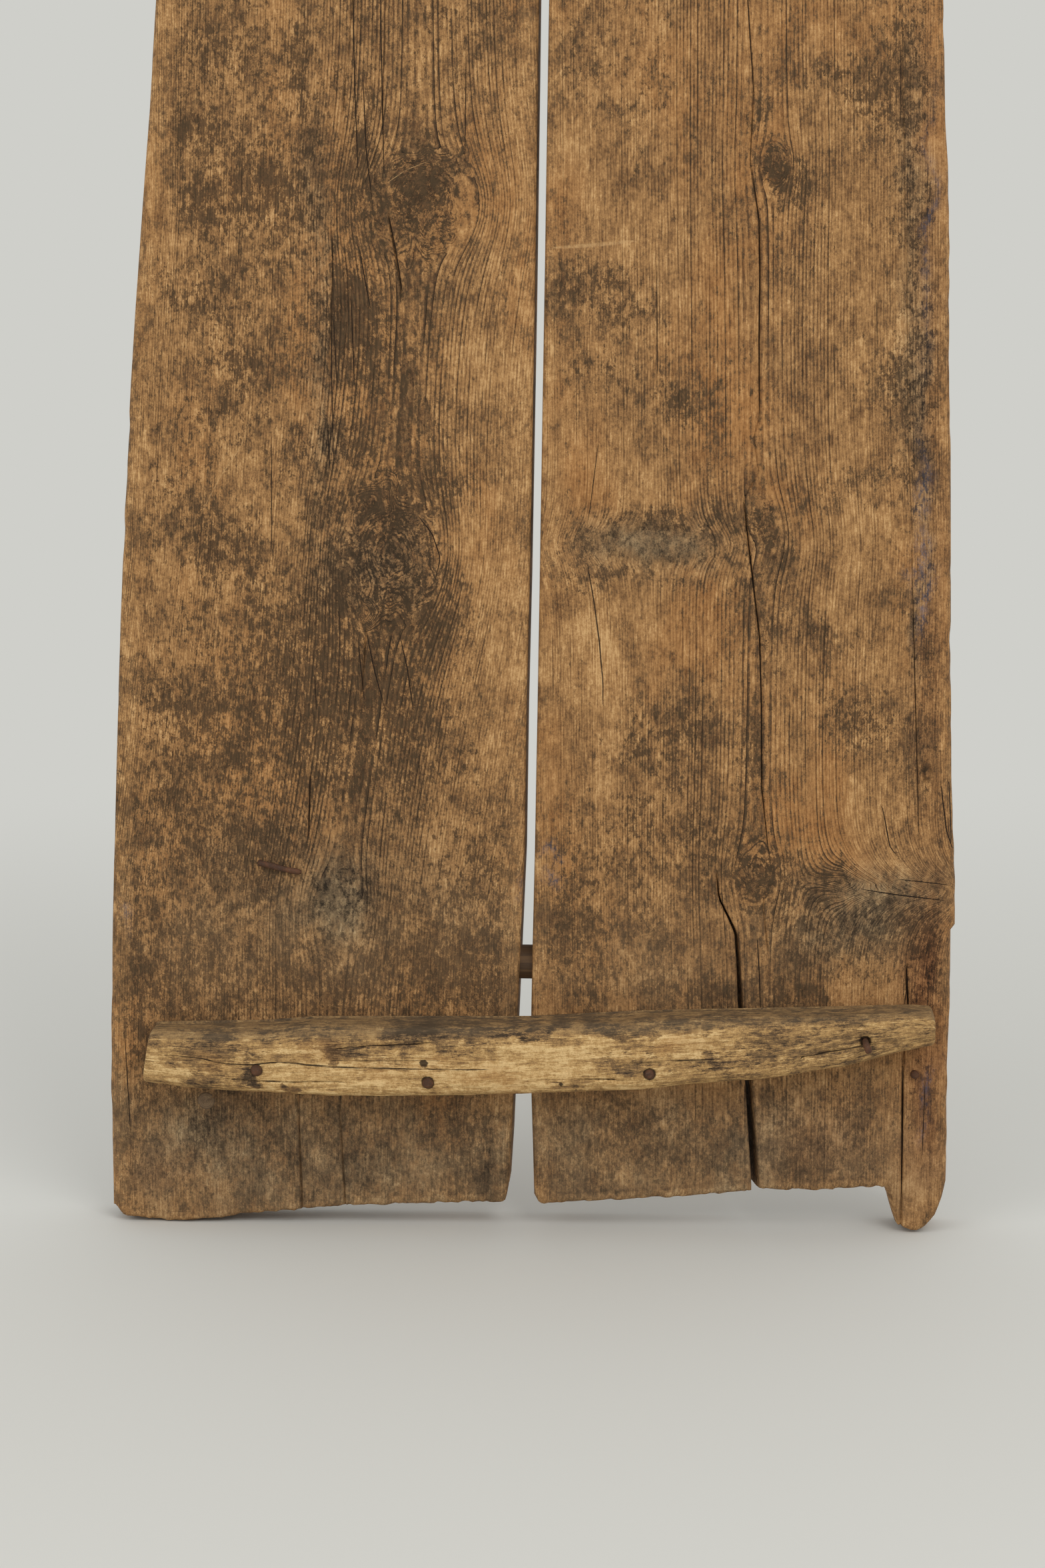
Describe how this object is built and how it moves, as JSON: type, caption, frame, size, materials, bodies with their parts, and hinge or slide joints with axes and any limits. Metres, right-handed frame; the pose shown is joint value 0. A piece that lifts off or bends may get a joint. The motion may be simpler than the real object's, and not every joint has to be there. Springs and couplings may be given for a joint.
{
  "type": "threshing sledge",
  "caption": "Threshing sledge hung upright: tapered weathered planks joined by dowels and nailed battens, flints let into the working face and a swinging draught ring.",
  "frame": {"origin": "middle of the hitch staple's eye, in front of the front batten on the centre line", "axes": "+Z along the planks from the tail to the upturned front, +X to the right seen from the battened upper face, +Y through the planks to the flints"},
  "size_m": [0.637, 0.1684, 1.5753],
  "materials": {
    "plank_wood": "weathered pine, matt",
    "batten_wood": "hewn pale wood, matt",
    "dowel_wood": "brown hardwood, matt",
    "rusty_iron": "rusted wrought iron",
    "flint": "chipped flint, satin"
  },
  "bodies": {
    "sledge": {"left_plank": "plank_wood", "right_plank": "plank_wood", "rear_batten": "batten_wood", "front_batten": "batten_wood", "rear_dowel": "dowel_wood", "front_dowel": "dowel_wood", "rear_nail_1": "rusty_iron", "rear_nail_2": "rusty_iron", "rear_nail_3": "rusty_iron", "rear_bent_nail": "rusty_iron", "front_nail_1": "rusty_iron", "front_nail_2": "rusty_iron", "front_nail_3": "rusty_iron", "front_nail_4": "rusty_iron", "clenched_nail": "rusty_iron", "left_tail_peg": "dowel_wood", "broken_nail": "rusty_iron", "hitch_staple": "rusty_iron", "flint_row_01": "flint", "flint_row_02": "flint", "flint_row_03": "flint", "flint_row_04": "flint", "flint_row_05": "flint", "flint_row_06": "flint", "flint_row_07": "flint", "flint_row_08": "flint", "flint_row_09": "flint", "flint_row_10": "flint", "flint_row_11": "flint", "flint_row_12": "flint", "flint_row_13": "flint", "flint_row_14": "flint", "flint_row_15": "flint", "flint_row_16": "flint", "flint_row_17": "flint", "flint_row_18": "flint"},
    "ring": {"hitch_ring": "rusty_iron"}
  },
  "joints": [
    {"name": "ring_swing", "type": "hinge", "parent": "sledge", "child": "ring", "pos_m": [0, 0.0061, -0.0066], "axis": [1, 0, 0], "range_deg": [-150, 0]}
  ]
}
